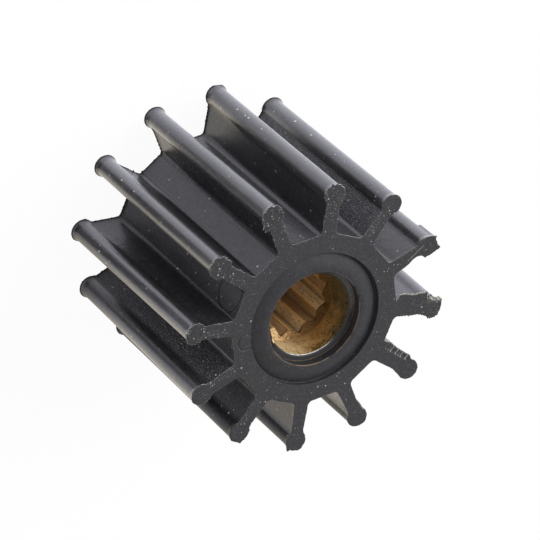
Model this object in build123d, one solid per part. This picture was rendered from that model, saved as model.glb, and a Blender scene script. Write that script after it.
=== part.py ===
# Flexible pump impeller: one moulded rubber body with a ring of beaded vanes, and the brass
# bush bonded into its hub. The bore runs along Z, and the rear end face lies at Z = 0.
from build123d import *
import os
from math import cos, radians, sin, sqrt, tan

# Overall sizes, set by the pump chamber
overall_diameter = 57.15
overall_length = 47.6

# Vanes: a tapering web from the hub, with a round bead along its tip
vane_count = 12
bead_diameter = 4.3
web_tip_width = 2.45
web_root_width = 3.05
root_fillet = 1.1
neck_fillet = 1.7

# Internal spline of the bush: V grooves with a narrow flat floor
spline_grooves = 12
spline_major_diameter = 15.84
spline_depth = 1.25
groove_floor_width = 0.3
groove_angle = 90.0
spline_turn = 19.5

# Radial widths, from the spline out to the floor of the pockets
counterbore_step = 0.72
bush_shoulder = 1.28
bush_cover = 2.1
lip_land = 0.9
recess_slope_width = 3.2
rubber_wall = 5.8

# Depths at each end: the lip stands almost level with the end face, and the recess around it
# falls away to its deepest at its outer wall
lip_drop = 0.15
lip_height = 1.9
recess_depth = 1.0
counterbore_depth = 6.35
lead_in_angle = 66.0

# Broken edges
bush_chamfer = 0.28
bush_outer_chamfer = 0.5
lip_chamfer = 0.2

# Radii that follow from the sizes above
overall_radius = overall_diameter / 2
bead_radius = bead_diameter / 2
bead_circle_radius = overall_radius - bead_radius
spline_major_radius = spline_major_diameter / 2
spline_minor_radius = spline_major_radius - spline_depth
counterbore_radius = spline_major_radius + counterbore_step
lip_radius = counterbore_radius + bush_shoulder
bush_radius = lip_radius + bush_cover
land_radius = lip_radius + lip_land
recess_radius = land_radius + recess_slope_width
floor_radius = bush_radius + rubber_wall

# Heights that follow from the sizes above
vane_step = 360 / vane_count
mid_height = overall_length / 2
bush_inset = lip_drop + lip_height
bush_half_length = mid_height - bush_inset


# One vane in plan, lying along +X, with its foot inside the hub
def vane_plan():
    web = Polygon(
        (floor_radius, -web_root_width / 2),
        (bead_circle_radius, -web_tip_width / 2),
        (bead_circle_radius, web_tip_width / 2),
        (floor_radius, web_root_width / 2),
        align=None,
    )
    bead = Pos(bead_circle_radius, 0) * Circle(bead_radius)
    return web + bead


# The hub in plan: a polygon with one flat between each two vanes
def hub_plan():
    corner_radius = floor_radius / cos(radians(vane_step / 2))
    corners = []
    for index in range(vane_count):
        turn = radians(index * vane_step)
        corners.append((corner_radius * cos(turn), corner_radius * sin(turn)))
    return Polygon(*corners, align=None)


# The outline of the body, with the roots and necks of the vanes blended
def body_plan():
    plan = hub_plan()
    for index in range(vane_count):
        plan += Rot(0, 0, index * vane_step) * vane_plan()
    root_zone = (floor_radius + bead_circle_radius - bead_radius) / 2
    roots = [v for v in plan.vertices() if Vector(v.X, v.Y).length < root_zone]
    plan = fillet(roots, root_fillet)
    necks = [v for v in plan.vertices() if is_neck(v)]
    return fillet(necks, neck_fillet)


# A neck is the corner where the web meets the inner half of its bead
def is_neck(vertex):
    reach = Vector(vertex.X, vertex.Y).length
    half_chord = sqrt(bead_radius**2 - (web_tip_width / 2) ** 2)
    return abs(reach - (bead_circle_radius - half_chord)) < bead_radius / 2


# Half of a round section, mirrored about the middle height and turned about Z
def turned(upper_points):
    half = Polygon(*upper_points, align=None)
    section = half + mirror(half, Plane.XZ)
    return Pos(0, 0, mid_height) * revolve(Plane.XZ * section, Axis.Z)


# What is hollow in the rubber: end recesses, lip bores and the seat of the bush
def hub_hollow():
    lip_top = mid_height - lip_drop
    outside = mid_height + recess_depth
    points = [
        (0, 0),
        (bush_radius, 0),
        (bush_radius, bush_half_length - bush_outer_chamfer),
        (bush_radius - bush_outer_chamfer, bush_half_length),
        (lip_radius, bush_half_length),
        (lip_radius, lip_top - lip_chamfer),
        (lip_radius + lip_chamfer, lip_top),
        (land_radius, lip_top),
        (recess_radius, mid_height - recess_depth),
        (recess_radius, outside),
        (0, outside),
    ]
    return turned(points)


# The moulded rubber body
def rubber_body():
    body = extrude(body_plan(), overall_length)
    return body - hub_hollow()


# The turned blank of the bush, bored to the spline's minor diameter
def bush_blank():
    cone_depth = (counterbore_radius - spline_minor_radius) / tan(radians(lead_in_angle))
    cone_mouth = bush_half_length - counterbore_depth
    points = [
        (spline_minor_radius, 0),
        (bush_radius, 0),
        (bush_radius, bush_half_length - bush_outer_chamfer),
        (bush_radius - bush_outer_chamfer, bush_half_length),
        (counterbore_radius + bush_chamfer, bush_half_length),
        (counterbore_radius, bush_half_length - bush_chamfer),
        (counterbore_radius, cone_mouth),
        (spline_minor_radius, cone_mouth - cone_depth),
    ]
    return turned(points)


# One groove of the spline in plan, along +X, open toward the bore
def groove_plan():
    flare = tan(radians(groove_angle / 2))
    mouth_radius = spline_minor_radius - spline_depth
    mouth_width = groove_floor_width + 2 * flare * (spline_major_radius - mouth_radius)
    return Polygon(
        (mouth_radius, -mouth_width / 2),
        (spline_major_radius, -groove_floor_width / 2),
        (spline_major_radius, groove_floor_width / 2),
        (mouth_radius, mouth_width / 2),
        align=None,
    )


# The brass bush, with its spline grooves cut right through
def splined_bush():
    bush = bush_blank()
    groove = extrude(groove_plan(), overall_length)
    for index in range(spline_grooves):
        turn = spline_turn + index * 360 / spline_grooves
        bush -= Rot(0, 0, turn) * groove
    return bush


os.makedirs("parts", exist_ok=True)
export_step(rubber_body(), "parts/rubber_body.step")
export_step(splined_bush(), "parts/splined_bush.step")
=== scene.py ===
from functools import partial
import math

import bpy
import bmesh
import numpy as np
from mathutils import Matrix, Vector, geometry, noise


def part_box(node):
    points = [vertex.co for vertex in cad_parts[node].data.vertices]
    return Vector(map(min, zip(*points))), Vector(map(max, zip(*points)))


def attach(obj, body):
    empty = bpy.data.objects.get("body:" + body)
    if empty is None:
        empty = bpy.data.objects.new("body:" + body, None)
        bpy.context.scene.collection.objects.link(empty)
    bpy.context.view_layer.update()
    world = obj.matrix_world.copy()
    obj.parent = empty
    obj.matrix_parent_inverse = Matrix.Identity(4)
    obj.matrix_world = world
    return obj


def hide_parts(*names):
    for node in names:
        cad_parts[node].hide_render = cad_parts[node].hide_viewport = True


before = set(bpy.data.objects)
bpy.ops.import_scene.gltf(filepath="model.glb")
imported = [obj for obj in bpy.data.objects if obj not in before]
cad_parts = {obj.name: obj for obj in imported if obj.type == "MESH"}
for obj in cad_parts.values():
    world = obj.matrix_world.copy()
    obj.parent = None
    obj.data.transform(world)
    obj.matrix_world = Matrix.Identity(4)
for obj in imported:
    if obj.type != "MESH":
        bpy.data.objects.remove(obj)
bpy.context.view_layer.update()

mm = 0.001
lowCorner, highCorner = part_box("rubber_body")
outerRadius = highCorner[0] / mm
length = (highCorner[2] - lowCorner[2]) / mm
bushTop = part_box("splined_bush")[1]
bushRadius = bushTop[0] / mm
bushInset = length - bushTop[2] / mm


# sRGB hex to the linear colour that Blender's sockets take
def toLinear(hexCode):
    channels = []
    for start in (1, 3, 5):
        value = int(hexCode[start:start + 2], 16) / 255
        channels.append(value / 12.92 if value <= 0.04045 else ((value + 0.055) / 1.055) ** 2.4)
    return (*channels, 1.0)


# Adds one node. Values fill its sockets in order, or by name, and a node or a socket among them
# is linked
def addNode(tree, kind, *values, named=None, **properties):
    node = tree.nodes.new("ShaderNode" + kind)
    for name, value in properties.items():
        setattr(node, name, value)
    pairs = list(zip([socket for socket in node.inputs if socket.enabled], values))
    pairs += [(node.inputs[name], value) for name, value in (named or {}).items()]
    for socket, value in pairs:
        if isinstance(value, bpy.types.Node):
            value = next(output for output in value.outputs if output.enabled)
        if isinstance(value, bpy.types.NodeSocket):
            tree.links.new(value, socket)
        else:
            socket.default_value = value
    return node


# Clears the nodes of a material or a world, and returns a function that adds to them
def startNodes(owner):
    owner.use_nodes = True
    owner.node_tree.nodes.clear()
    return partial(addNode, owner.node_tree)


# Lays tones over a colour, one after another: (how much, tone)
def overlay(add, colour, layers):
    for share, tone in layers:
        colour = add("Mix", share, colour, toLinear(tone), data_type="RGBA")
    return colour


# Several shares multiplied together
def product(add, result, *others):
    for share in others:
        result = add("Math", result, share, operation="MULTIPLY")
    return result


def smoothStep(low, high, value):
    t = min(1.0, max(0.0, (value - low) / (high - low)))
    return t * t * (3 - 2 * t)


def fade(distance, reach):
    return math.exp(-(distance / reach) ** 2)


# Unit vector at an azimuth and an elevation in degrees
def bearing(azimuth, elevation=0.0):
    turn, rise = math.radians(azimuth), math.radians(elevation)
    return Vector((math.cos(turn) * math.cos(rise), math.sin(turn) * math.cos(rise), math.sin(rise)))


def makeObject(name, bm):
    mesh = bpy.data.meshes.new(name)
    bm.to_mesh(mesh)
    bm.free()
    made = bpy.data.objects.new(name, mesh)
    bpy.context.scene.collection.objects.link(made)
    return made


# Bends sharper than this, in degrees, are shaded as edges
sharpBend = 38


def makePiece(name, bm):
    bmesh.ops.recalc_face_normals(bm, faces=bm.faces)
    piece = makeObject(name, bm)
    piece.data.shade_smooth()
    piece.data.set_sharp_from_angle(angle=math.radians(sharpBend))
    return piece


# The rubber moulding, in mm. A vane is known by its angle from +X in degrees, and a place on it is
# given along it, from the axis, and across it
rubber = {
    "vaneCount": 12,
    "beadRadius": 2.15,
    "webTipWidth": 2.45,
    "webRootWidth": 3.05,
    "rootFillet": 1.1,
    "neckFillet": 1.7,
    "floorRadius": 17.82,      # from the axis to the floor of a pocket
    "recessRadius": 14.02,
    "recessDepth": 1.0,
    "landRadius": 10.82,
    "lipRadius": 9.92,
    "lipDrop": 0.15,
    "edgeRound": 0.09,
    "faceWaves": 0.015,
    "wallWaves": 0.03,
    "partingRidge": 0.05,      # raised line where the floor of a pocket meets one of its fillets,
    "partingGroove": 0.05,     # and the fine groove at the other

    # the beads lie in from their ends, for the mould's draft
    "beadDraft": 0.2,
    "draftAlong": (24.2, 25.5),
    "draftFromFront": (0.15, 1.0),
    "draftFromBack": (0.3, 1.2),

    # the trimmed front edge stands out a little, and more where it is torn: how far, and the shares
    # of its waves
    "flash": 0.07,
    "flashWaves": {"steady": 0.5, "fine": 0.8, "nibs": 2.5},
    "crumble": 0.34,
    "crumbleWaves": {"steady": 0.2, "fine": 0.9, "coarse": 0.5, "nibs": 1.2, "crumbs": 2.2},
    "flashThickness": 0.26,
    "nibsOver": 0.35,          # nibs stand only where their noise is over this
    "tornAtRoot": 0.35,        # a vane is torn less at its root, by this share
    "tornReach": (0.05, 0.4),

    # the burr left all round the rear end, less ragged along the beads
    "backFlash": 0.27,
    "backWaves": {"bulges": 0.7, "nibs": 3.0},
    "backSteady": 0.85,
    "backBeadShare": 0.3,
    "backThickness": 0.34,
    "trimmedRim": 0.45,        # how far up the rear rim the trimmed finish reaches

    # how torn the edge of each vane's front end is, from 0 to 1
    "torn": {
        0: 0.15, 30: 0.0, 60: 0.1, 90: 0.5, 120: 0.1, 150: 0.1,
        180: 0.7, 210: 1.0, 240: 1.0, 270: 0.7, 300: 0.2, 330: 0.3,
    },

    # how far the ends of a vane lean: (outward, sideways)
    "leanFront": {
        0: (-0.1, 0.0), 30: (-0.1, 0.15), 60: (0.4, 0.05), 90: (0.02, -0.35),
        120: (0.1, -0.1), 150: (0.05, 0.0), 180: (-0.15, -0.1), 210: (-0.1, -0.25),
        240: (-0.1, -0.05), 270: (-0.4, 0.3), 300: (0.1, 0.3), 330: (-0.08, -0.05),
    },
    "leanBack": {
        60: (0.0, -0.35), 150: (-0.12, -0.35), 210: (-0.15, 0.12), 240: (0.0, 0.1),
        270: (-0.15, 0.5), 300: (-0.1, 0.15), 330: (-0.12, 0.0),
    },
    "leanPower": 1.6,
    "leanLimit": 1.2,

    # nicks, nibs and flats at the front ends:
    # (along, across, pushed along, pushed across, spread, depth)
    "nicks": {
        0: [(28.0, -1.45, 0.6, -0.12, 0.4, 0.8), (28.2, 1.1, 0.28, 0.05, 0.7, 1.0)],
        30: [(28.2, 1.1, 0.2, 0.0, 0.8, 1.2)],
        60: [(24.4, -1.5, 0.0, -0.32, 0.75, 1.6)],
        90: [(28.3, 1.1, 0.6, 0.15, 0.4, 0.7), (27.8, 1.6, 0.1, 0.5, 0.45, 0.8),
             (25.95, 2.05, -0.1, 0.75, 0.35, 0.8), (25.25, 1.75, 0.1, -0.3, 0.25, 1.0),
             (26.7, -2.1, 0.0, -0.2, 0.7, 1.2), (24.3, -1.5, 0.0, -0.25, 0.4, 0.5)],
        120: [(23.4, -1.3, 0.0, 0.5, 1.5, 3.0), (27.95, -1.52, 0.85, -0.35, 0.55, 0.9),
              (25.2, -1.8, -0.1, -0.4, 0.3, 0.6), (28.1, 1.35, 0.25, 0.05, 0.6, 1.2)],
        210: [(25.2, 1.7, 0.1, 0.8, 0.32, 0.8), (24.35, 1.35, -0.1, 1.25, 0.34, 0.8)],
        240: [(25.2, -1.6, 0.0, -0.3, 0.4, 0.5)],
        330: [(28.0, 1.5, 0.3, 0.3, 0.5, 0.8), (25.1, 1.7, 0.0, 0.3, 0.25, 0.5),
              (27.6, -1.7, 0.0, 0.15, 0.5, 0.8)],
    },

    # skins of rubber left along the front edge of a web: points of their outer edge, and thickness
    "skins": {
        30: ([(22.7, 1.5), (23.6, 1.75), (25.2, 1.95), (25.6, 1.9)], 0.7),
        60: ([(17.7, 2.7), (19.3, 3.02), (22.1, 2.68), (25.3, 2.66), (25.95, 2.3)], 0.6),
        90: ([(18.4, 3.3), (19.6, 3.5), (21.1, 3.1), (22.1, 3.08), (23.1, 3.28), (24.4, 3.3),
              (24.85, 3.38)], 0.3),
    },

    # thin fins left standing off a bead: (along, across, height, width, reach down)
    "fins": {120: (28.42, 0.75, 0.5, 0.24, 6.2)},
    "finRunOut": 0.5,

    # how far down the side wall the cuts of the front face are felt
    "cutReach": 1.2,

    # the row of tear ribs across the front end of a vane
    "ribbedVane": 60,
    "ribStart": 19.0,
    "ribEnd": 25.4,
    "ribPitch": 0.95,
    "ribShare": 0.6,           # where in its pitch a rib is deepest
    "ribDepth": 0.5,
    "ribEdge": 1.4,
    "ribEdgeFade": (-0.1, 0.35),
    "ribSlant": 0.25,
    "ribBunching": 0.27,       # the ribs stand closer and wider by turns
    "bunchingPhase": (2.2, 5.0),

    # the crack and the torn tip of a vane
    "crackedVane": 90,
    "crack": ((25.3, 2.6), (25.45, 0.5)),
    "crackWidth": 0.17,
    "crackDepth": 0.7,
    "tearAlong": (25.3, 25.7),
    "tearAcross": (0.3, 1.5),
    "tearDepth": 0.3,

    # the crease across a vane, with a soft side and a sharp one
    "creasedVane": 120,
    "crease": ((22.4, -0.4), (24.3, 0.15), (25.9, 0.5)),
    "creaseDrop": 0.14,
    "creaseWidths": (0.9, 0.12),
    "creaseShift": 0.04,

    # lumps of the torn ends, and a witness mark of a mould pin on the front face
    "lumpSize": 0.55,
    "lumpDepth": 0.16,
    "lumpsAlong": (22.5, 25.5),
    "pinPlace": (3.36, -14.74),
    "pinRadius": 1.65,
    "pinWidth": 0.13,
    "pinDepth": 0.16,

    # webs whose side the mould has left rough: how rough, by vane and side
    "sandySides": {(300, -1): 1.0, (330, -1): 0.35, (150, 1): 1.0, (270, 1): 1.0},
    "dulledBeads": (330, 0, 30),
    "dulledSide": (330, -1),

    # how fine the mesh is: points along a web and round half its bead, rings, and end faces
    "floorPoints": 8,
    "plainPoints": (14, 26),
    "raggedPoints": (30, 40),
    "raggedFrom": 0.4,
    "filletSteps": (9, 8),
    "frontRings": [0.0, 0.04, 0.09, 0.16, 0.26, 0.4, 0.62, 0.95, 1.4, 2.0, 2.8, 3.8, 4.9, 5.7, 6.1, 6.5],
    "backRings": [0.0, 0.05, 0.12, 0.22, 0.36, 0.6, 1.0, 1.7],
    "middleRings": 10,
    "turnedSegments": 200,
    "frontGrid": 0.3,
    "backGrid": 0.5,

    # where the front face is cut or torn its points are closer: (vane, along, across, spacing)
    "fineZones": [
        (60, (18.7, 25.6), (1.2, 3.4), 0.12), (90, (24.6, 28.6), (0.2, 3.2), 0.13),
        (120, (22.2, 26.2), (-0.9, 0.9), 0.12), (270, (12.9, 16.6), (1.5, 5.3), 0.15),
        (180, (22.5, 28.6), (-2.9, 2.9), 0.17), (210, (22.5, 28.6), (-2.9, 2.9), 0.17),
        (240, (22.5, 28.6), (-2.9, 2.9), 0.17), (270, (22.5, 28.6), (-2.9, 2.9), 0.17),
    ],
}
vaneStep = 360 // rubber["vaneCount"]

# The five finishes of the rubber, in the order of its material slots
moulded, trimmed, smooth, burnished, dulled = range(5)


def finishAt(angle, v, onBead):
    dulledVane, side = rubber["dulledSide"]
    if (onBead and angle in rubber["dulledBeads"]) or (angle == dulledVane and v * side > 0):
        return dulled
    return burnished if onBead else moulded


# A place in plan as a vane sees it: along it and across it
def fromVane(angle, x, y):
    turn = math.radians(angle)
    return x * math.cos(turn) + y * math.sin(turn), y * math.cos(turn) - x * math.sin(turn)


# The nearest vane to a place in plan, and the place as that vane sees it
def nearestVane(x, y):
    azimuth = math.degrees(math.atan2(y, x)) % 360
    angle = round(azimuth / vaneStep) * vaneStep % 360
    return (angle, *fromVane(angle, x, y))


# How far out a place lies on its vane: 0 at the floor of the pockets, 1 at the middle of the bead
def reachOnVane(u):
    beadCircle = outerRadius - rubber["beadRadius"]
    return max(0.0, (u - rubber["floorRadius"]) / (beadCircle - rubber["floorRadius"]))


def arcPoints(centre, radius, start, end, count):
    points = []
    for step in range(count + 1):
        angle = math.radians(start + (end - start) * step / count)
        points.append((centre[0] + radius * math.cos(angle), centre[1] + radius * math.sin(angle)))
    return points


# One side of a vane in plan, along +X: from the middle of the pocket floor to the bead's tip
def halfVane(webPoints, beadPoints):
    half = math.radians(180 / rubber["vaneCount"])
    flat = Vector((math.cos(half), math.sin(half)))
    bead = Vector((outerRadius - rubber["beadRadius"], 0))
    foot = Vector((rubber["floorRadius"], rubber["webRootWidth"] / 2))
    tip = Vector((outerRadius - rubber["beadRadius"], rubber["webTipWidth"] / 2))
    along = (tip - foot).normalized()
    across = Vector((-along.y, along.x))

    # root fillet: tangent to the pocket floor and to the web
    reach = rubber["floorRadius"] + rubber["rootFillet"]
    base = foot + across * rubber["rootFillet"]
    root = base + along * ((reach - flat.dot(base)) / flat.dot(along))

    # neck fillet: tangent to the web and to the bead
    base = foot + across * rubber["neckFillet"]
    toBead = base - bead
    span = rubber["beadRadius"] + rubber["neckFillet"]
    b = toBead.dot(along)
    neck = base + along * (-b - math.sqrt(b * b - toBead.length_squared + span * span))

    webAngle = math.degrees(math.atan2(-across.y, -across.x)) % 360
    neckEnd = math.degrees(math.atan2(bead.y - neck.y, bead.x - neck.x)) % 360
    rootSteps, neckSteps = rubber["filletSteps"]
    rootArc = arcPoints(root, rubber["rootFillet"], 180 + math.degrees(half), webAngle, rootSteps)
    neckArc = arcPoints(neck, rubber["neckFillet"], webAngle, neckEnd, neckSteps)
    beadArc = arcPoints(bead, rubber["beadRadius"], neckEnd - 180, 0, beadPoints)

    floorMiddle = flat * rubber["floorRadius"]
    floorPoints = rubber["floorPoints"]
    points = [tuple(floorMiddle.lerp(Vector(rootArc[0]), step / floorPoints)) for step in range(floorPoints)]
    points += rootArc
    for step in range(1, webPoints):
        points.append(tuple(Vector(rootArc[-1]).lerp(Vector(neckArc[0]), step / webPoints)))
    return points + neckArc + beadArc[1:]


# The whole outline in plan, counter-clockwise: each point with its place along and across its vane,
# its place in plan, its direction out, and its finish
def bodyOutline():
    outline = []
    for angle in range(0, 360, vaneStep):
        ragged = rubber["torn"][angle] > rubber["raggedFrom"] or angle in rubber["skins"]
        webPoints, beadPoints = rubber["raggedPoints" if ragged else "plainPoints"]
        side = [{"u": u, "v": v, "onBead": False, "parting": 0.0}
                for u, v in halfVane(webPoints, beadPoints)]
        for point in side[-beadPoints - 2:]:
            point["onBead"] = True
        side[rubber["floorPoints"]]["parting"] = 1.0
        loop = [dict(point, v=-point["v"]) for point in side]
        loop += [dict(point) for point in reversed(side[:-1])]
        turn = Matrix.Rotation(math.radians(angle), 2)
        for point in loop[:-1]:
            place = turn @ Vector((point["u"], point["v"]))
            finish = finishAt(angle, point["v"], point["onBead"])
            outline.append(dict(point, place=place, angle=angle, turn=turn, finish=finish))
    for index, point in enumerate(outline):
        tangent = outline[(index + 1) % len(outline)]["place"] - outline[index - 1]["place"]
        point["normal"] = Vector((tangent.y, -tangent.x)).normalized()
    return outline


# Depths of the rings of the side wall below the front end, closest at both ends
def wallDepths():
    front, back, between = rubber["frontRings"], rubber["backRings"], rubber["middleRings"]
    first, last = front[-1], length - back[-1]
    depths = front[:-1]
    depths += [first + (last - first) * step / between for step in range(between + 1)]
    depths += [length - value for value in reversed(back[:-1])]
    return depths


# How far the nicks of a vane push a point of its outline at a depth
def frontPush(point, depth):
    push = Vector((0.0, 0.0))
    for along, across, du, dv, spread, reach in rubber["nicks"].get(point["angle"], []):
        weight = fade(math.hypot(point["u"] - along, point["v"] - across), spread) * fade(depth, reach)
        push += Vector((du, dv)) * weight
    return point["turn"] @ push


# How far a point of a vane leans, along and across it, at a share of the height from 0 to 1
def leanShift(point, share):
    front = Vector(rubber["leanFront"].get(point["angle"], (0, 0)))
    back = Vector(rubber["leanBack"].get(point["angle"], (0, 0)))
    reach = min(rubber["leanLimit"], reachOnVane(point["u"]))
    return (front * share + back * (1 - share)) * reach ** rubber["leanPower"]


# How far across a vane the outer edge of its skin lies
def skinEdge(angle, u):
    edge = rubber["skins"][angle][0] if angle in rubber["skins"] else []
    if not edge or not edge[0][0] < u < edge[-1][0]:
        return 0.0
    return float(np.interp(u, [spot[0] for spot in edge], [spot[1] for spot in edge]))


# How far the skin stands out from a point of the outline at a depth
def skinWidth(point, depth):
    nearMiddle = 0.3
    if point["v"] < nearMiddle or point["angle"] not in rubber["skins"]:
        return 0.0
    shift = leanShift(point, 1.0)
    width = skinEdge(point["angle"], point["u"] + shift.x) - point["v"] - shift.y
    return max(0.0, width) * fade(depth, rubber["skins"][point["angle"]][1])


# How far a fin stands off a point of the outline at a depth
def finHeight(point, depth):
    along, across, height, width, reach = rubber["fins"].get(point["angle"], (0, 0, 0, 1, 1))
    away = math.hypot(point["u"] - along, point["v"] - across)
    return height * fade(away, width) * (1 - smoothStep(reach - rubber["finRunOut"], reach, depth))


# Smooth noise over the plan, from -1 to 1: waves per mm, and a number that picks the pattern
def planNoise(x, y, perMm, pattern):
    return noise.noise(Vector((x * perMm, y * perMm, pattern)))


# Waves of the edges of the moulding at a place in plan, from broad bulges to small crumbs
def edgeWaves(x, y):
    fine = planNoise(x, y, 2.3, 3.0)
    return {
        "steady": 1.0,
        "fine": fine,
        "bulges": max(0.0, fine),
        "coarse": planNoise(x, y, 0.9, 9.0),
        "nibs": max(0.0, planNoise(x, y, 1.6, 21.0) - rubber["nibsOver"]),
        "crumbs": max(0.0, planNoise(x, y, 4.6, 15.0)),
    }


# How far the flash at the front and the burr at the rear stand out from a point of the outline
def edgeFlash(point, depth):
    waves = edgeWaves(*point["place"])
    clean, crumbled, burr = [sum(share * waves[name] for name, share in rubber[kind].items())
                             for kind in ("flashWaves", "crumbleWaves", "backWaves")]
    atRoot = rubber["tornAtRoot"]
    torn = rubber["torn"][point["angle"]]
    torn *= atRoot + (1 - atRoot) * smoothStep(*rubber["tornReach"], reachOnVane(point["u"]))
    flash = rubber["flash"] * clean * (1 - torn) + rubber["crumble"] * crumbled * torn
    ragged = rubber["backBeadShare"] if point["onBead"] else 1.0
    burr = rubber["backFlash"] * (rubber["backSteady"] + ragged * burr)
    flash *= fade(depth, rubber["flashThickness"])
    return flash + burr * fade(length - depth, rubber["backThickness"])


# One ring of the side wall at a depth: leaned, waved, nicked and with its flash
def wallRing(outline, depth):
    height = length - depth
    rounding = 0.0
    edgeRound, nearEnd = rubber["edgeRound"], min(depth, height)
    if nearEnd < edgeRound:
        rounding = edgeRound - math.sqrt(edgeRound ** 2 - (edgeRound - nearEnd) ** 2)
    endDraft = smoothStep(*rubber["draftFromFront"], depth) * smoothStep(*rubber["draftFromBack"], height)
    ring = []
    for point in outline:
        x, y = point["place"]
        out = edgeFlash(point, depth)
        out += rubber["wallWaves"] * noise.noise(Vector((x * 0.25, y * 0.25, height * 0.12)))
        line = rubber["partingRidge"] if point["v"] < 0 else -rubber["partingGroove"]
        out += line * point["parting"] * (1 + 0.9 * noise.noise(Vector((x, y, height * 0.4))))
        out -= rubber["beadDraft"] * smoothStep(*rubber["draftAlong"], point["u"]) * endDraft
        place = point["place"] + point["turn"] @ leanShift(point, height / length)
        place += point["turn"] @ Vector((0.0, skinWidth(point, depth)))
        place += point["normal"] * (out + finHeight(point, depth) - rounding) + frontPush(point, depth)
        place.x = min(outerRadius, max(-outerRadius, place.x))
        place.y = min(outerRadius, max(-outerRadius, place.y))
        sink = frontRelief(place.x, place.y) * fade(depth, rubber["cutReach"])
        ring.append(Vector((place.x, place.y, height - sink)))
    return ring


# How far a place lies from a line between two others, and how far along it, from 0 to 1
def awayFrom(u, v, start, end):
    along = Vector(end) - Vector(start)
    share = min(1.0, max(0.0, (Vector((u, v)) - Vector(start)).dot(along) / along.length_squared))
    return (Vector((u, v)) - Vector(start) - along * share).length, share


# How far a place lies from the crease of its vane
def awayFromCrease(u, v):
    first, middle, last = rubber["crease"]
    return min(awayFrom(u, v, first, middle), awayFrom(u, v, middle, last))[0]


# Where a place lies in the pitch of the tear ribs, from 0 to 1
def ribPhase(u, v):
    pace, start = rubber["bunchingPhase"]
    along = u - rubber["ribStart"] - v * rubber["ribSlant"]
    along += rubber["ribBunching"] * math.sin(pace * along + start)
    return (along / rubber["ribPitch"]) % 1.0


def onRibs(angle, u):
    return angle == rubber["ribbedVane"] and rubber["ribStart"] < u < rubber["ribEnd"]


def faceWave(x, y):
    return rubber["faceWaves"] * (1 - planNoise(x, y, 0.8, 2.0))


# Waves, cuts and tears of the front face, as a depth below it
def frontRelief(x, y):
    angle, u, v = nearestVane(x, y)
    sink = faceWave(x, y)
    if onRibs(angle, u):
        phase, top = ribPhase(u, v), rubber["ribShare"]
        inside, whole = [rubber["ribEdge"] + shift for shift in rubber["ribEdgeFade"]]
        sink += rubber["ribDepth"] * min(phase / top, (1 - phase) / (1 - top)) * smoothStep(inside, whole, v)
    if angle == rubber["crackedVane"]:
        away, share = awayFrom(u, v, *rubber["crack"])
        sink += rubber["crackDepth"] * fade(away, rubber["crackWidth"]) * (1 - share)
        torn = smoothStep(*rubber["tearAlong"], u) * smoothStep(*rubber["tearAcross"], v)
        sink += rubber["tearDepth"] * torn * (0.5 + planNoise(x, y, 2.1, 6.0))
    if angle == rubber["creasedVane"]:
        first, middle, last = rubber["crease"]
        slope = (last[1] - first[1]) * (u - first[0]) / (last[0] - first[0])
        below = v < first[1] + slope + rubber["creaseShift"]
        sink += rubber["creaseDrop"] * fade(awayFromCrease(u, v), rubber["creaseWidths"][0 if below else 1])
    lumps = 0.5 + 0.5 * noise.noise(Vector((x, y, 8.0)) / rubber["lumpSize"])
    lumps += 0.35 * noise.noise(Vector((x, y, 5.0)) / rubber["lumpSize"] * 2.6)
    onTip = smoothStep(*rubber["lumpsAlong"], u)
    sink += rubber["lumpDepth"] * rubber["torn"][angle] * onTip * max(0.0, lumps)
    pinX, pinY = rubber["pinPlace"]
    offRing = abs(math.hypot(x - pinX, y - pinY) - rubber["pinRadius"])
    return sink + rubber["pinDepth"] * fade(offRing, rubber["pinWidth"])


def insidePolygon(points, polygon):
    x, y = points[:, 0], points[:, 1]
    inside = np.zeros(len(points), bool)
    x0, y0 = polygon[-1]
    for x1, y1 in polygon:
        if y0 != y1:
            inside ^= ((y1 > y) != (y0 > y)) & (x < (x0 - x1) * (y - y1) / (y0 - y1) + x1)
        x0, y0 = x1, y1
    return inside


def inFineZone(x, y):
    for angle, along, across, _ in rubber["fineZones"]:
        u, v = fromVane(angle, x, y)
        if along[0] < u < along[1] and across[0] < v < across[1]:
            return True
    return False


# Puts closer points in place of those in the fine zones
def denserSpots(spots):
    kept = [spot for spot in spots if not inFineZone(*spot)]
    for angle, along, across, spacing in rubber["fineZones"]:
        turn = math.radians(angle)
        for row in range(int((along[1] - along[0]) / spacing)):
            for column in range(int((across[1] - across[0]) / spacing)):
                u = along[0] + (row + 0.5) * spacing
                v = across[0] + (column + 0.5 + 0.5 * (row % 2)) * spacing
                x = u * math.cos(turn) - v * math.sin(turn)
                y = u * math.sin(turn) + v * math.cos(turn)
                kept.append((x, y))
    return kept


# Points over an end face, in staggered rows a little out of line
def faceSpots(grid, isFront):
    noise.seed_set(4)          # without a seed the noise vectors would differ from run to run
    jitter, rowPitch = 0.3, 0.87
    steps = int(outerRadius / grid) + 1
    spots = []
    for row in range(-steps, steps + 1):
        for column in range(-steps, steps + 1):
            shift = noise.noise_vector(Vector((row * 3.1, column * 2.7, 5.0))) * grid * jitter
            spots.append(((column + 0.5 * (row % 2)) * grid + shift.x, row * grid * rowPitch + shift.y))
    return np.array(denserSpots(spots) if isFront else spots)


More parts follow.
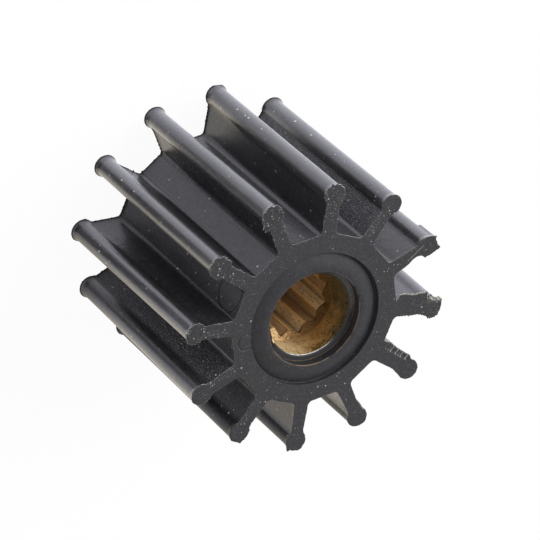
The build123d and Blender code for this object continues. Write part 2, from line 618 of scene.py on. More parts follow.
# Fills an end face between its ragged rim and the recess with fine triangles
def fillFace(bm, rimVerts, circleVerts, height, grid, isFront):
    rim = [(vert.co.x / mm, vert.co.y / mm) for vert in rimVerts]
    circle = [(vert.co.x / mm, vert.co.y / mm) for vert in circleVerts]
    circleRadius = math.hypot(*circle[0])
    rimGap = 0.06 if isFront else grid * 0.45
    circleGap = grid * 0.4
    spots = faceSpots(grid, isFront)
    radius = np.hypot(spots[:, 0], spots[:, 1])
    spots = spots[(radius > circleRadius + circleGap) & (radius < outerRadius * 1.05)]
    spots = spots[insidePolygon(spots, rim)]
    rimPlaces = np.array(rim)
    spots = spots[np.array([np.min(np.hypot(*(rimPlaces - spot).T)) > rimGap for spot in spots])]

    points = [Vector(place) for place in [*rim, *circle, *spots]]
    edges = [(i, (i + 1) % len(rim)) for i in range(len(rim))]
    edges += [(len(rim) + i, len(rim) + (i + 1) % len(circle)) for i in range(len(circle))]
    places, _, triangles, sources, *_ = geometry.delaunay_2d_cdt(points, edges, [], 0, 1e-6)
    known = [*rimVerts, *circleVerts]
    verts = []
    for (x, y), source in zip(places, sources):
        if source and source[0] < len(known):
            verts.append(known[source[0]])
        else:
            sink = frontRelief(x, y) if isFront else -faceWave(x, y)
            verts.append(bm.verts.new((x * mm, y * mm, (height - sink) * mm)))
    triangles = np.array(triangles)
    middles = np.array([tuple(place) for place in places])[triangles].mean(axis=1)
    onFace = insidePolygon(middles, rim) & (np.hypot(middles[:, 0], middles[:, 1]) > circleRadius * 0.9999)
    for triangle in triangles[onFace]:
        corners = triangle if isFront else reversed(triangle)
        bm.faces.new([verts[index] for index in corners]).material_index = trimmed


# Half section of the recess, lip and bush seat: (radius, depth below the end face)
def recessSection():
    wall, depth, drop = rubber["recessRadius"], rubber["recessDepth"], rubber["lipDrop"]
    land, lip = rubber["landRadius"], rubber["lipRadius"]
    wallRound = [(0.1, 0.0), (0.04, 0.015), (0, 0.07), (0, 0.4), (-0.01, 0.75), (-0.02, 0.93), (-0.06, 0.98)]
    lipRound = [(0.5, 0.15), (0.2, 0.155), (0.09, 0.19), (0.03, 0.25), (0, 0.35), (0, 0.9), (0, 1.5)]
    foot = wall - 0.12
    slopeSteps, slopePower = 15, 1.35
    section = [(wall + out, down) for out, down in wallRound] + [(foot, depth)]
    for step in range(1, slopeSteps):
        t = 1 - step / slopeSteps
        section.append((land + (foot - land) * t, drop + (depth - drop) * t ** slopePower))
    section += [(land, drop)] + [(lip + out, down) for out, down in lipRound] + [(lip, bushInset)]
    seatChamfer = bush["outerChamfer"]
    return section + [(bushRadius - seatChamfer, bushInset), (bushRadius, bushInset + seatChamfer)]


def turnedRings(bm, section, segments, isFront):
    rings = []
    for radius, depth in section:
        height = length - depth if isFront else depth
        ring = []
        for index in range(segments):
            angle = 2 * math.pi * index / segments
            x, y = radius * math.cos(angle), radius * math.sin(angle)
            ring.append(bm.verts.new((x * mm, y * mm, height * mm)))
        rings.append(ring)
    return rings


# Joins two rings with faces, which take one finish or that of the points they lie between
def bridge(bm, ringA, ringB, finish=moulded, finishes=None):
    count = len(ringA)
    for index in range(count):
        after = (index + 1) % count
        face = bm.faces.new((ringA[index], ringA[after], ringB[after], ringB[index]))
        face.material_index = min(finishes[index], finishes[after]) if finishes else finish


# Marks that the mesh carries for its finishes: where dust gathers, where the mould has left the rubber
# rough, and where the rubber is pale: painted highlights on the tear ribs, the crease, the skins and the
# fin, and pale patches on the torn tip. Ranges are in mm, along a vane or below the front
finishMarks = ("dusty", "sandy", "pale")
marks = {
    "dustAlong": (17.5, 24.5), "dustBelow": (0.3, 0.6),
    "sandStart": (18.2, 19.5), "sandEnd": (24.0, 25.0),
    "ribBelow": 0.6, "ribAlong": (18.8, 20.4), "ribWidth": 0.12, "ribPale": 0.95,
    "creaseBelow": 0.4, "creaseWidth": 0.1, "creasePale": 0.6,
    "tearBelow": 0.7, "tearAlong": (25.2, 25.5), "tearAcross": (0.8, 1.4), "tearRough": (0.25, 0.5),
    "skinBelow": 0.3, "skinStart": 18.9, "skinWidth": 0.16, "crackedSkinPale": 1.0, "skinPale": 0.4,
    "skinSideBelow": 0.5, "skinSideTop": 0.1, "skinSidePale": 0.6,
    "finBelow": 6.2, "finPale": 0.25, "standsOut": 0.3,
}


def markFinish(bm):
    dusty, sandy, pale = [bm.verts.layers.float[name] for name in finishMarks]
    for vert in bm.verts:
        x, y, z = vert.co / mm
        angle, u, v = nearestVane(x, y)
        below = length - z
        nearFront = 1 - smoothStep(*marks["dustBelow"], below)
        vert[dusty] = rubber["torn"][angle] * smoothStep(*marks["dustAlong"], u) * nearFront
        rough = rubber["sandySides"].get((angle, 1 if v > 0 else -1))
        if rough:
            vert[sandy] = rough * smoothStep(*marks["sandStart"], u) * (1 - smoothStep(*marks["sandEnd"], u))
        # painted highlights: pale stripes along the tear ribs, and a pale line along the crease
        if onRibs(angle, u) and v > rubber["ribEdge"] and below < marks["ribBelow"]:
            stripe = fade(abs(ribPhase(u, v) - rubber["ribShare"]), marks["ribWidth"])
            vert[pale] = marks["ribPale"] * stripe * smoothStep(*marks["ribAlong"], u)
        if angle == rubber["creasedVane"] and below < marks["creaseBelow"]:
            vert[pale] = marks["creasePale"] * fade(awayFromCrease(u, v), marks["creaseWidth"])
        if angle == rubber["crackedVane"] and below < marks["tearBelow"]:
            patches = smoothStep(*marks["tearRough"], 0.5 + noise.noise(Vector((x * 2.8, y * 1.3, 30.0))))
            vert[pale] = patches * smoothStep(*marks["tearAlong"], u) * smoothStep(*marks["tearAcross"], v)
        # a painted highlight along the outer edge of each skin
        edge = skinEdge(angle, u)
        onSkin = edge and u > marks["skinStart"] and abs(v - edge) < marks["skinWidth"]
        if onSkin and below < marks["skinBelow"]:
            vert[pale] = marks["crackedSkinPale" if angle == rubber["crackedVane"] else "skinPale"]


# The sides of the skin and of the fin get a painted highlight too
def markWall(bm, rings, outline):
    pale = bm.verts.layers.float["pale"]
    for ring, depth in zip(rings, wallDepths()):
        for vert, point in zip(ring, outline):
            onSkin = point["angle"] == rubber["crackedVane"] and skinWidth(point, 0) > marks["standsOut"]
            if onSkin and depth < marks["skinSideBelow"]:
                vert[pale] = 1.0 if depth < marks["skinSideTop"] else marks["skinSidePale"]
            if depth < marks["finBelow"] and finHeight(point, depth) > marks["standsOut"]:
                vert[pale] = marks["finPale"]


def makeRubber():
    bm = bmesh.new()
    for name in finishMarks:
        bm.verts.layers.float.new(name)
    outline = bodyOutline()
    depths = wallDepths()
    rings = [[bm.verts.new(place * mm) for place in wallRing(outline, depth)] for depth in depths]
    wallFinishes = [point["finish"] for point in outline]
    for upper, lower, depth in zip(rings, rings[1:], depths):
        atRim = depth > length - rubber["trimmedRim"]
        bridge(bm, lower, upper, trimmed, None if atRim else wallFinishes)
    front = turnedRings(bm, recessSection(), rubber["turnedSegments"], True)
    back = turnedRings(bm, recessSection(), rubber["turnedSegments"], False)
    for outer, inner in zip(front, front[1:]):
        bridge(bm, outer, inner, smooth)
    for outer, inner in zip(back, back[1:]):
        bridge(bm, inner, outer, smooth)
    bridge(bm, front[-1], back[-1], smooth)
    fillFace(bm, rings[0], front[0], length, rubber["frontGrid"], True)
    fillFace(bm, rings[-1], back[0], 0.0, rubber["backGrid"], False)
    markFinish(bm)
    markWall(bm, rings, outline)
    return makePiece("rubberMoulding", bm)


# The brass bush, in mm
bush = {
    "grooves": 12,
    "majorRadius": 7.92,
    "minorRadius": 6.67,
    "floorWidth": 0.3,
    "turn": 19.5,
    "counterboreRadius": 8.64,
    "counterboreDepth": 6.35,
    "leadInAngle": 66.0,
    "mouthChamfer": 0.28,
    "outerChamfer": 0.5,
    "wear": 0.012,             # how deep the bore is worn, in waves
    "stepsPerGroove": 28,
    "counterboreRings": 12,
    "coneRings": 12,
    "splineRings": 26,
}


# Radius of the splined bore at an angle in degrees
def splineRadius(angle):
    pitch = 360 / bush["grooves"]
    turn = math.radians(abs((angle - bush["turn"] + pitch / 2) % pitch - pitch / 2))
    flank = (bush["majorRadius"] + bush["floorWidth"] / 2) / (math.cos(turn) + math.sin(turn))
    floor = bush["majorRadius"] / math.cos(turn)
    return max(bush["minorRadius"], min(flank, floor))


# Radius of the bore at an angle and at a depth below the end of the bush
def boreRadius(angle, depth):
    bore = bush["counterboreRadius"]
    if depth < bush["mouthChamfer"]:
        return bore + bush["mouthChamfer"] - depth
    if depth <= bush["counterboreDepth"]:
        return bore
    cone = bore - (depth - bush["counterboreDepth"]) * math.tan(math.radians(bush["leadInAngle"]))
    return max(splineRadius(angle), cone)


# Depths of the rings of the bore, from the end of the bush to its middle
def boreDepths():
    start, end = 0.5, bush["counterboreDepth"]
    straight, cone, spline = bush["counterboreRings"], bush["coneRings"], bush["splineRings"]
    coneSlope = math.tan(math.radians(bush["leadInAngle"]))
    coneDepth = (bush["counterboreRadius"] - bush["minorRadius"]) / coneSlope
    depths = [0.0, bush["mouthChamfer"]]
    depths += [start + step * (end - start - 0.1) / straight for step in range(straight + 1)]
    depths += [end + coneDepth * step / cone for step in range(cone + 1)]
    last = depths[-1]
    rest = length / 2 - bushInset - last
    return depths + [last + rest * step / spline for step in range(1, spline + 1)]


def makeBush():
    bm = bmesh.new()
    steps = bush["stepsPerGroove"]
    total = bush["grooves"] * steps
    angles = [bush["turn"] + 360 / bush["grooves"] * index / steps for index in range(total)]

    # one ring at a height: plain when its radius is given, or else worn, at a depth in the bore
    def ring(height, plainRadius=None, depth=None):
        verts = []
        for angle in angles:
            turn = math.radians(angle)
            radius = plainRadius
            if depth is not None:
                wear = noise.noise(Vector((math.cos(turn) * 6, math.sin(turn) * 6, height * 1.3)))
                radius = boreRadius(angle, depth) + bush["wear"] * wear
            x, y = radius * math.cos(turn), radius * math.sin(turn)
            verts.append(bm.verts.new((x * mm, y * mm, height * mm)))
        return verts

    depths = boreDepths()
    top, bottom, chamfer = length - bushInset, bushInset, bush["outerChamfer"]
    rings = [ring(top - depth, depth=depth) for depth in depths]
    rings += [ring(bottom + depth, depth=depth) for depth in reversed(depths[:-1])]
    rings += [ring(bottom, bushRadius - chamfer), ring(bottom + chamfer, bushRadius)]
    rings += [ring(top - chamfer, bushRadius), ring(top, bushRadius - chamfer)]
    for index in range(len(rings)):
        bridge(bm, rings[index], rings[(index + 1) % len(rings)])
    return makePiece("splinedBush", bm)


# The finishes of the rubber. Sizes, spacings and relief are in mm, and specks are given by the
# spacing of their cells, their size and the share of the cells that hold one
# torn is the colour of the painted highlight along the trimmed front edge, None where a finish has none
mouldedLook = {
    "dark": "#1f1f22", "light": "#2b2b2f", "dust": "#d8d8d6", "rim": "#0e0e0f", "torn": "#6f6e6a",
    "ior": 1.52, "roughness": 0.32, "specular": 0.9,
    "sheen": 0.0, "sheenRoughness": 0.3, "coat": 0.0, "coatRoughness": 0.3,
    "mottleSize": 2.8, "specks": (0.9, 0.24, 0.2),
    "markSpacing": 0.3, "markLength": 1.4, "relief": 0.05, "reliefStrength": 0.8,
}
dulledLook = dict(mouldedLook, ior=1.55, roughness=0.45, specular=0.36, coat=0.12)
burnishedLook = dict(
    mouldedLook, light="#2a2a2f", dust="#dcdcdc", torn="#8a8882",
    ior=1.6, roughness=0.33, specular=1.0, sheen=0.12, sheenRoughness=0.2, coat=1.0,
    mottleSize=2.2, specks=(0.9, 0.24, 0.22),
    markSpacing=0.24, markLength=1.6, relief=0.11, reliefStrength=1.0)
trimmedLook = dict(
    mouldedLook, dark="#202022", light="#303032", dust="#c4c4c0", rim="#1a1a1b", torn=None,
    roughness=0.6, specular=0.5, mottleSize=0.45, specks=(0.62, 0.15, 0.22),
    markSpacing=0.22, markLength=0.22, relief=0.08, reliefStrength=1.0)
recessLook = dict(
    mouldedLook, dark="#2c2c2e", light="#343437", dust="#a4a4a2", rim="#1a1a1b", torn=None,
    roughness=0.52, specular=0.3, mottleSize=2.0, specks=(0.9, 0.1, 0.16),
    markSpacing=0.3, markLength=0.3, relief=0.015, reliefStrength=0.5)

# What the finishes share
rubberLook = {
    "sheenTint": "#fff6e0", "pale": "#a3a19a",
    "speckAmount": (0.15, 0.9), "speckGather": 0.2,
    "fineDust": (0.3, 0.1, 0.55), "fineAmount": 0.16, "fineGather": 0.3,
    "sand": (0.27, 0.14, 0.75), "sandColour": "#a0a0a8", "sandAmount": (0.05, 0.7),
    "sandGrain": 0.34, "sandRelief": 0.28,
    "lineRadius": 9.99, "lineWidth": 0.07, "lineBelow": (0.42, 0.36),
    "lineCool": "#7d7d84", "lineWarm": "#77644c", "lineSides": (-4.0, 2.0),
    "edgeHighlightBelow": (0.26, 0.08), "edgeHighlightAmount": 0.75, "rimAbove": (0.3, 0.55),
}
floorMark = {
    "azimuth": 255, "across": -0.9, "height": 42.9, "radius": 3.8, "width": (0.22, 0.08),
    "floorFrom": 16.5, "floorHalf": 2.8, "colour": "#0c0c0d", "relief": 0.6,
}


# Round specks through the rubber: where they are, and a random value for each
def scatter(add, inMm, specks, gathered=None, gathering=0.0):
    spacing, size, share = specks
    cells = add("TexVoronoi", inMm, 1 / spacing)
    chance, value, _ = add("SeparateColor", cells.outputs["Color"]).outputs
    if gathered:
        chance = add("Math", gathered, gathering, chance, operation="MULTIPLY_ADD")
    reach = add("MapRange", chance, 1 - share, 1.0, 0.0, size / spacing)
    return add("Math", cells, reach, operation="LESS_THAN"), value


# A painted highlight: the fine pale line along the rounded lip of the recess, cooler on one side and warmer
# on the other: how much, and its colour
def lipEdgeHighlight(add, radius, x, z, mottle):
    look = rubberLook
    low, high = [length - below for below in look["lineBelow"]]
    inner = add("MapRange", radius, look["lineRadius"] + look["lineWidth"], look["lineRadius"])
    line = product(add, inner, add("MapRange", z, low, high), add("MapRange", mottle, 0.2, 0.6))
    tones = toLinear(look["lineCool"]), toLinear(look["lineWarm"])
    return line, add("Mix", add("MapRange", x, *look["lineSides"]), *tones, data_type="RGBA")


# The round witness mark of the mould on the floor of one pocket
def mouldRing(add, inMm, z):
    outward = add("VectorMath", inMm, bearing(floorMark["azimuth"]), operation="DOT_PRODUCT")
    across = add("VectorMath", inMm, bearing(floorMark["azimuth"] + 90), operation="DOT_PRODUCT")
    middle = (floorMark["across"], floorMark["height"], 0)
    away = add("VectorMath", add("CombineXYZ", across, z), middle, operation="DISTANCE")
    offRing = add("Math", away, floorMark["radius"], operation="SUBTRACT")
    ring = add("MapRange", add("Math", offRing, operation="ABSOLUTE"), *floorMark["width"])
    onFloor = add("Math", outward, floorMark["floorFrom"], operation="GREATER_THAN")
    sideways = add("Math", across, operation="ABSOLUTE")
    inPocket = add("Math", sideways, floorMark["floorHalf"], operation="LESS_THAN")
    return product(add, ring, onFloor, inPocket)


# Nitrile rubber, near black. Moulded, it has a soft sheen with fine marks across it, and where the
# pump has burnished the beads it shines; trimmed, it is dull, grainy and holds white dust; in the
# recess it is smooth and dull
def nitrile(name, look):
    material = bpy.data.materials.new(name)
    add = startNodes(material)
    inMm = add("VectorMath", add("TexCoord").outputs["Object"], 1 / mm, operation="SCALE")
    x, y, z = add("SeparateXYZ", inMm).outputs
    radius = add("VectorMath", add("CombineXYZ", x, y), operation="LENGTH")
    dusty, sandy, pale = [add("Attribute", attribute_name=mark).outputs["Fac"] for mark in finishMarks]
    mottle = add("MapRange", add("TexNoise", inMm, 1 / look["mottleSize"], 4.0, 0.65), 0.3, 0.7)
    colour = add("Mix", mottle, toLinear(look["dark"]), toLinear(look["light"]), data_type="RGBA")

    # loose dust: a few clear specks, and many small faint ones that gather where the edge is torn
    specks, value = scatter(add, inMm, look["specks"], dusty, rubberLook["speckGather"])
    clear = product(add, specks, add("MapRange", value, 0.0, 1.0, *rubberLook["speckAmount"]))
    specks, _ = scatter(add, inMm, rubberLook["fineDust"])
    amount = add("Math", dusty, rubberLook["fineGather"], rubberLook["fineAmount"], operation="MULTIPLY_ADD")
    dust = add("Math", clear, product(add, specks, amount), operation="MAXIMUM")

    # bright points where the mould has left the rubber rough, then the pale marks: painted highlights, and
    # pale patches on the torn tip
    points, value = scatter(add, inMm, rubberLook["sand"])
    points = product(add, points, add("MapRange", value, 0.0, 1.0, *rubberLook["sandAmount"]), sandy)
    colour = overlay(add, colour, [
        (dust, look["dust"]), (points, rubberLook["sandColour"]), (pale, rubberLook["pale"])])

    # painted highlight along the lip of the recess
    if name == "nitrileRecess":
        line, lineColour = lipEdgeHighlight(add, radius, x, z, mottle)
        colour = add("Mix", line, colour, lineColour, data_type="RGBA")
    if name == "nitrileMoulded":
        ring = mouldRing(add, inMm, z)
        colour = overlay(add, colour, [(ring, floorMark["colour"])])

    # a painted highlight lies along the trimmed edge at the front, and the colour darkens toward the rear
    # end, over the burr
    if look["torn"]:
        low, high = [length - below for below in rubberLook["edgeHighlightBelow"]]
        edge = add("MapRange", z, low, high, 0.0, rubberLook["edgeHighlightAmount"])
        colour = overlay(add, colour, [(product(add, edge, mottle), look["torn"])])
    # darker within about half a mm of the rear end
    rim = add("MapRange", z, *rubberLook["rimAbove"], 1.0, 0.0)
    colour = overlay(add, colour, [(rim, look["rim"])])

    # fine marks of the mould or the knife, the edge of the witness mark, and the sandy grain
    scale = (1 / look["markLength"], 1 / look["markLength"], 1 / look["markSpacing"])
    marksPlace = add("Mapping", inMm, named={"Scale": scale})
    fineMarks = add("TexNoise", marksPlace, 1.0, 3.0)
    bump = add("Bump", named={
        "Strength": look["reliefStrength"], "Distance": look["relief"] * mm, "Height": fineMarks})
    if name == "nitrileMoulded":
        bump = add("Bump", named={"Distance": floorMark["relief"] * mm, "Height": ring, "Normal": bump})
    grain = add("TexNoise", inMm, 1 / rubberLook["sandGrain"], 2.0, 0.7)
    bump = add("Bump", named={
        "Strength": sandy, "Distance": rubberLook["sandRelief"] * mm, "Height": grain, "Normal": bump})

    gloss = add("MapRange", fineMarks, 0.3, 0.7, look["roughness"] - 0.07, look["roughness"] + 0.1)
    shader = add("BsdfPrincipled", named={
        "Base Color": colour, "Roughness": gloss, "Normal": bump, "IOR": look["ior"],
        "Specular IOR Level": look["specular"], "Sheen Weight": look["sheen"],
        "Sheen Roughness": look["sheenRoughness"], "Sheen Tint": toLinear(rubberLook["sheenTint"]),
        "Coat Weight": look["coat"], "Coat Roughness": look["coatRoughness"]})
    add("OutputMaterial", shader)
    return material


# The finish of the brass. Sizes, depths below the end of the bush and radii are in mm
brassLook = {
    "cream": "#e6cc9c", "gold": "#c4985a", "umber": "#785728", "green": "#5a563a", "pit": "#17130d",
    "cone": "#6a4a22", "tooth": "#f4d4a0", "toothBright": "#fff0cc", "toothDark": "#96713e",
    "crest": "#ffcc78", "silver": "#dcdbd4", "chip": "#ffe2ac", "skim": "#2b2b2d",
    "skimPaintedLit": "#6c6c68", "edgeLine": "#75624b",
    "metallic": 0.2, "coneMetallic": 0.75, "roughness": 0.46, "skimRoughness": 0.7,
    "creamAzimuth": -42, "silverAzimuth": 8, "chipAzimuth": -56.5, "besideAzimuth": -53.5,
    "paleSkimAzimuth": 125,
    "streakWidth": 0.4545, "streakLength": 7.143, "cloudSize": 2.5, "grainSize": 0.4167,
    "pitSpacing": 0.5, "smallPitSpacing": 0.4348,
    "mouthDepths": (3.2, 0.2), "coneDepths": (6.2, 6.4), "teethDepths": (7.15, 7.3),
    "pitDepths": (4.0, 1.2), "smallPitDepths": (3.8, 1.2), "chipDepths": (1.2, 0.9),
    "chamferOut": (0.16, 0.22), "chamferIn": (0.36, 0.3),
    "grooveRadii": (7.75, 7.9), "crestRadii": (6.78, 6.7), "skimRadii": (8.88, 8.95),
    "edgeRadii": (9.72, 9.8),
    "streakRelief": 0.04, "grainRelief": 0.05,
}


# Brass, turned and broached, tarnished in use: painted light makes it pale on the side where the lamp falls
# into the bore, and it is bright silver along one side of the mouth's edge; golden brown round the
# counterbore, greenish near the mouth, with a painted orange highlight on the crests of the teeth, painted
# shade at the bottom of the grooves, dark in the pits, and a skim of rubber on the end faces, painted paler
# on the lit side
def brassBroached():
    look = brassLook
    material = bpy.data.materials.new("brassBroached")
    add = startNodes(material)
    inMm = add("VectorMath", add("TexCoord").outputs["Object"], 1 / mm, operation="SCALE")
    x, y, z = add("SeparateXYZ", inMm).outputs
    flat = add("CombineXYZ", x, y)
    radius = add("VectorMath", flat, operation="LENGTH")
    outward = add("VectorMath", flat, operation="NORMALIZE")
    toCream, toSilver, toChip, besideChip, toPaintedLitSkim = [
        add("VectorMath", outward, bearing(look[name + "Azimuth"]), operation="DOT_PRODUCT")
        for name in ("cream", "silver", "chip", "beside", "paleSkim")]
    fromMiddle = add("Math", add("Math", z, length / 2, operation="SUBTRACT"), operation="ABSOLUTE")
    depth = add("Math", length / 2 - bushInset, fromMiddle, operation="SUBTRACT")

    across, along = 1 / look["streakWidth"], 1 / look["streakLength"]
    streakPlace = add("Mapping", inMm, named={"Scale": (across, across, along)})
    streak = add("TexNoise", streakPlace, 1.0, 5.0, 0.62)
    cloud = add("TexNoise", inMm, 1 / look["cloudSize"], 5.0, 0.62)
    fine = add("TexNoise", inMm, 1 / look["grainSize"], 4.0, 0.62)

    # the counterbore: pale on one side with painted light, where the lamp falls into the bore, then golden
    # brown, then greenish, and greener near its mouth
    side = add("Math", toCream, add("MapRange", cloud, 0.25, 0.75, -0.35, 0.35), operation="ADD")
    side = add("Math", side, add("MapRange", fine, 0.25, 0.75, -0.2, 0.2), operation="ADD")
    patches = add("Math", cloud, add("MapRange", fine, 0.0, 1.0, -0.2, 0.2), operation="ADD")
    umber, gold = toLinear(look["umber"]), toLinear(look["gold"])
    golden = add("Mix", add("MapRange", patches, 0.3, 0.5), umber, gold, data_type="RGBA")
    mouth = product(add, add("MapRange", depth, *look["mouthDepths"], 0.0, 0.75),
                    add("MapRange", toCream, 0.9, 0.3))
    tarnish = add("Math", side, mouth, operation="SUBTRACT")

    # the cone and what lies under it are browner, least on the side made pale by painted light
    cone = product(add, add("MapRange", depth, *look["coneDepths"]), add("MapRange", side, 1.15, 0.85))
    wall = overlay(add, golden, [
        (add("MapRange", side, 0.35, 1.0), look["cream"]),
        (add("MapRange", tarnish, 0.05, -0.85, 0.0, 0.9), look["green"]),
        (add("MapRange", depth, *look["coneDepths"], 0.0, 0.55), look["gold"]),
        (product(add, cone, add("MapRange", cloud, 0.35, 0.6, 0.75, 1.0)), look["cone"]),
        (product(add, cone, add("MapRange", fine, 0.5, 0.62, 0.0, 0.6)), look["pit"])])

    # the teeth: streaked by the broach, one flank in three darker, with a painted highlight on their crests
    # and painted shade at the bottom of the grooves. A whole number of flanks from the first groove is a
    # crest or a floor
    flankWidth = math.pi / bush["grooves"]
    azimuth = add("Math", y, x, operation="ARCTAN2")
    flanks = add("Math", azimuth, 1 / flankWidth, -math.radians(bush["turn"]) / flankWidth,
                 operation="MULTIPLY_ADD")
    inThree = add("Math", add("Math", flanks, operation="FLOOR"), 3.0, operation="FLOORED_MODULO")
    inTooth = add("Math", flanks, 2.0, operation="FLOORED_MODULO")
    offCrest = add("Math", add("Math", inTooth, 1.0, operation="SUBTRACT"), operation="ABSOLUTE")
    # painted highlight: an orange line along the crests of the teeth
    crest = product(add, add("MapRange", radius, *look["crestRadii"]),
                    add("MapRange", streak, 0.35, 0.5, 0.3, 1.0), add("MapRange", offCrest, 0.16, 0.1))
    tooth, bright = toLinear(look["tooth"]), toLinear(look["toothBright"])
    teeth = add("Mix", add("MapRange", streak, 0.42, 0.6), tooth, bright, data_type="RGBA")
    teeth = overlay(add, teeth, [
        (add("MapRange", inThree, 0.3, 0.7, 0.0, 0.7), look["toothDark"]),
        (add("MapRange", cloud, 0.5, 0.7, 0.0, 0.25), look["umber"]),
        (add("MapRange", fine, 0.58, 0.64, 0.0, 0.5), look["pit"]),
        # painted shade at the bottom of the grooves
        (add("MapRange", radius, *look["grooveRadii"], 0.0, 0.4), look["pit"]),
        (crest, look["crest"])])
    inTeeth = add("MapRange", depth, *look["teethDepths"])
    colour = add("Mix", inTeeth, wall, teeth, data_type="RGBA")

    # dark pits, closest near the mouth
    cells = add("TexVoronoi", inMm, 1 / look["pitSpacing"])
    chance, value, _ = add("SeparateColor", cells.outputs["Color"]).outputs
    chance = add("Math", chance, add("MapRange", depth, *look["pitDepths"], 0.0, 0.3), operation="ADD")
    ragged = add("Math", cells, add("MapRange", fine, 0.3, 0.7, -0.08, 0.08), operation="ADD")
    pit = add("Math", ragged, add("MapRange", chance, 0.6, 1.05, 0.0, 0.42), operation="LESS_THAN")
    pit = product(add, pit, add("MapRange", value, 0.0, 1.0, 0.4, 0.95))
    cells = add("TexVoronoi", inMm, 1 / look["smallPitSpacing"])
    chance, value, _ = add("SeparateColor", cells.outputs["Color"]).outputs
    size = product(add, add("MapRange", chance, 0.15, 1.0, 0.05, 0.62),
                   add("MapRange", depth, *look["smallPitDepths"]))
    smallPit = add("Math", cells, size, operation="LESS_THAN")
    smallPit = product(add, smallPit, add("MapRange", value, 0.0, 1.0, 0.35, 0.95))

    # the broken edge of the mouth is bright silver along one side, with one bright chip and a painted shadow
    # beside it, and a skim of rubber lies on the end face
    lip = add("MapRange", depth, *look["chamferIn"])
    silverEdge = product(add, lip, add("MapRange", depth, *look["chamferOut"]),
                     add("MapRange", toSilver, 0.76, 0.93), add("MapRange", fine, 0.38, 0.48, 0.3, 1.0))
    chip = product(add, add("MapRange", depth, *look["chipDepths"]), add("MapRange", toChip, 0.9975, 0.999))
    skimmed = add("MapRange", radius, *look["skimRadii"])
    shadow = product(add, skimmed, add("MapRange", besideChip, 0.995, 0.998))
    # painted light: the skim is paler on the side where the lamp falls
    paleSkim = product(add, skimmed, add("MapRange", toPaintedLitSkim, 0.75, 0.95),
                       add("MapRange", fine, 0.35, 0.6, 0.4, 1.0))
    edge = product(add, add("MapRange", radius, *look["edgeRadii"]),
                   add("MapRange", fine, 0.4, 0.55, 0.2, 1.0))
    colour = overlay(add, colour, [
        (pit, look["pit"]), (smallPit, look["pit"]), (lip, look["skim"]), (silverEdge, look["silver"]),
        (chip, look["chip"]), (skimmed, look["skim"]), (shadow, look["pit"]),
        (paleSkim, look["skimPaintedLit"]), (edge, look["edgeLine"])])

    coneOnly = product(add, cone, add("MapRange", inTeeth, 1.0, 0.0))
    metal = product(add, add("MapRange", coneOnly, 0.0, 1.0, look["metallic"], look["coneMetallic"]),
                    add("MapRange", skimmed, 1.0, 0.0))
    roughness = add("MapRange", skimmed, 0.0, 1.0, look["roughness"], look["skimRoughness"])
    bump = add("Bump", named={"Strength": 0.7, "Distance": look["streakRelief"] * mm, "Height": streak})
    bump = add("Bump", named={
        "Strength": 0.6, "Distance": look["grainRelief"] * mm, "Height": fine, "Normal": bump})
    shader = add("BsdfPrincipled", named={
        "Base Color": colour, "Metallic": metal, "Roughness": roughness, "Normal": bump})
    add("OutputMaterial", shader)
    return material


# White table and room under one soft panel. In reflections the table is clear, the room is white all round
# but for a darker side behind the camera, and a dark stand under the table puts painted shade in them, with
# a painted shadow under the object. Places and sizes of the stand and of the shade are in mm, the rest is in
# metres
stageLook = {
    "tableRadius": 2.5, "table": "#ffffff", "tableDrop": 0.02, "whiteShare": 0.95,
    "shade": (10.0, -14.0), "shadeReach": (11.0, 25.0), "shadeDepth": 0.62,
    "stand": (-17.0, -55.0), "standHalf": (23.0, 13.0), "standDepth": 24.0, "standDrop": 0.5,
    "standColour": "#0e0e10",
    "worldLight": 0.55, "coolWhite": "#f1f1fc", "creamWhite": "#fff6e4", "creamAzimuth": -18,
    "horizonShine": 1.0, "zenithShine": 0.25, "lowShine": 1.1,
    "darkAzimuth": 238, "darkShine": 0.78, "brightAzimuth": 150, "brightShine": 1.3,
    "panelAzimuth": 132, "panelElevation": 42, "panelDistance": 0.8, "panelSize": 0.6,
    "panelPower": 6.0,
}


# White card, matt: almost pure white to the camera, with a soft shadow under the object. Reflected rays pass
# through it, darkened under the object by a painted shadow
def tableCard():
    material = bpy.data.materials.new("tableCard")
    add = startNodes(material)
    paths = add("LightPath").outputs
    card = add("BsdfDiffuse", toLinear(stageLook["table"]))
    glow = add("Emission", named={"Strength": 1.0})
    lit = add("MixShader", stageLook["whiteShare"], card, glow)
    seen = add("MixShader", paths["Is Camera Ray"], card, lit)
    middle = Vector((*stageLook["shade"], 0)) * mm
    away = add("VectorMath", add("TexCoord").outputs["Object"], middle, operation="DISTANCE")
    nearest, farthest = [reach * mm for reach in stageLook["shadeReach"]]
    shade = add("MapRange", away, nearest, farthest, 1 - stageLook["shadeDepth"])
    clear = add("BsdfTransparent", shade)
    add("OutputMaterial", add("MixShader", paths["Is Glossy Ray"], seen, clear))
    return material


# Painted shade for reflections: the stand under the table, seen only through it in reflections, is dark
# felt, which scatters the little light that it returns
def reflectedShadeFelt():
    material = bpy.data.materials.new("reflectedShadeFelt")
    add = startNodes(material)
    add("OutputMaterial", add("BsdfDiffuse", toLinear(stageLook["standColour"])))
    return material


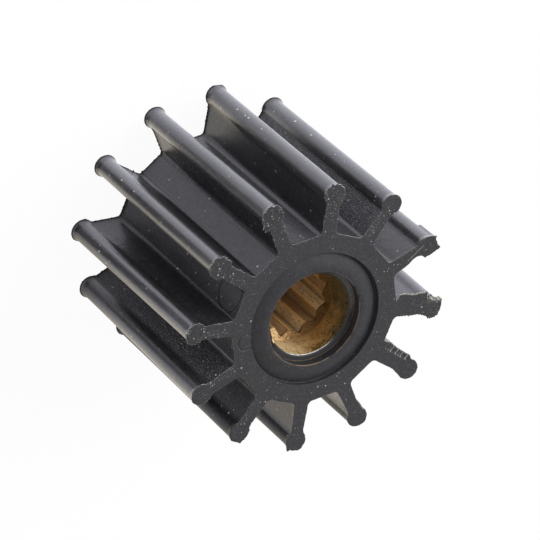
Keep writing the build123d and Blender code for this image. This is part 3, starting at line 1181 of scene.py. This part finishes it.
# A white room, as the pale light of a studio. Reflections see it dim overhead, darker on one side
# below the horizon and brighter on another, and cream in one direction
def whiteRoom():
    look = stageLook
    world = bpy.data.worlds.new("whiteRoom")
    add = startNodes(world)
    paths = add("LightPath").outputs
    x, y, z = add("SeparateXYZ", add("TexCoord").outputs["Generated"]).outputs
    level = add("VectorMath", add("CombineXYZ", x, y), operation="NORMALIZE")
    toDark, toBright, toCream = [
        add("VectorMath", level, bearing(look[name]), operation="DOT_PRODUCT")
        for name in ("darkAzimuth", "brightAzimuth", "creamAzimuth")]
    high = add("MapRange", z, 0.45, 0.95, look["horizonShine"], look["zenithShine"])
    low = product(add, add("MapRange", toDark, 0.3, 1.0, look["lowShine"], look["darkShine"]),
                  add("MapRange", toBright, -0.1, 1.0, 1.0, look["brightShine"]))
    shine = add("Mix", add("MapRange", z, -0.3, 0.1), low, high, data_type="FLOAT")
    cool, cream = toLinear(look["coolWhite"]), toLinear(look["creamWhite"])
    tint = add("Mix", add("MapRange", toCream, 0.6, 0.96), cool, cream, data_type="RGBA")
    white = toLinear("#ffffff")
    colour = add("Mix", paths["Is Glossy Ray"], white, tint, data_type="RGBA")
    strength = add("Mix", paths["Is Glossy Ray"], look["worldLight"], shine, data_type="FLOAT")
    strength = add("Math", strength, paths["Is Camera Ray"], operation="MAXIMUM")
    add("OutputWorld", add("Background", colour, strength))
    return world


def makeStage():
    bm = bmesh.new()
    bmesh.ops.create_circle(bm, cap_ends=True, radius=stageLook["tableRadius"], segments=64)
    table = makeObject("table", bm)
    table.location.z = -stageLook["tableDrop"] * mm
    table.data.materials.append(tableCard())

    bm = bmesh.new()
    depth = stageLook["standDepth"]
    bmesh.ops.create_cone(bm, cap_ends=True, segments=48, radius1=mm, radius2=mm, depth=depth * mm)
    bmesh.ops.scale(bm, vec=(*stageLook["standHalf"], 1.0), verts=bm.verts)
    stand = makeObject("stand", bm)
    stand.location = Vector((*stageLook["stand"], -depth / 2 - stageLook["standDrop"])) * mm
    stand.data.materials.append(reflectedShadeFelt())

    bpy.context.scene.world = whiteRoom()
    lamp = bpy.data.lights.new("keyPanel", "AREA")
    lamp.shape = "SQUARE"
    lamp.size = stageLook["panelSize"]
    lamp.energy = stageLook["panelPower"]
    panel = bpy.data.objects.new("keyPanel", lamp)
    target = Vector((0, 0, length / 2 * mm))
    toPanel = bearing(stageLook["panelAzimuth"], stageLook["panelElevation"])
    panel.location = toPanel * stageLook["panelDistance"] + target
    panel.rotation_euler = (target - panel.location).to_track_quat("-Z", "Y").to_euler()
    bpy.context.scene.collection.objects.link(panel)


# The camera stands 0.82 m off and looks down at the front end, rolled on its axis. Places are in mm
# and angles in degrees
cameraLook = {
    "aim": (0.196, 2.389, 25.446), "azimuth": -129.929, "elevation": 49.955, "distance": 818.22,
    "roll": 131.39, "lens": 278.58, "sensorWidth": 36,
}


def makeCamera():
    turn = math.radians(cameraLook["azimuth"])
    back = bearing(cameraLook["azimuth"], cameraLook["elevation"])
    right = Vector((-math.sin(turn), math.cos(turn), 0))
    axes = Matrix((right, back.cross(right), back)).transposed().to_4x4()
    place = (Vector(cameraLook["aim"]) + back * cameraLook["distance"]) * mm
    roll = Matrix.Rotation(math.radians(cameraLook["roll"]), 4, "Z")
    camera = bpy.data.objects.new("camera", bpy.data.cameras.new("camera"))
    camera.matrix_world = Matrix.Translation(place) @ axes @ roll
    camera.data.sensor_width = cameraLook["sensorWidth"]
    camera.data.lens = cameraLook["lens"]
    bpy.context.scene.collection.objects.link(camera)
    bpy.context.scene.camera = camera


makeCamera()
makeStage()
print("camera and stage ready")

rubberPiece = makeRubber()
for finish, look in (("nitrileMoulded", mouldedLook), ("nitrileTrimmed", trimmedLook),
                     ("nitrileRecess", recessLook), ("nitrileBurnished", burnishedLook),
                     ("nitrileDulled", dulledLook)):
    rubberPiece.data.materials.append(nitrile(finish, look))
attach(rubberPiece, "root")
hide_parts("rubber_body")
print("rubber moulding:", len(rubberPiece.data.polygons), "faces")

bushPiece = makeBush()
bushPiece.data.materials.append(brassBroached())
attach(bushPiece, "root")
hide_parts("splined_bush")
print("brass bush:", len(bushPiece.data.polygons), "faces")

bpy.context.scene.view_settings.view_transform = "Standard"
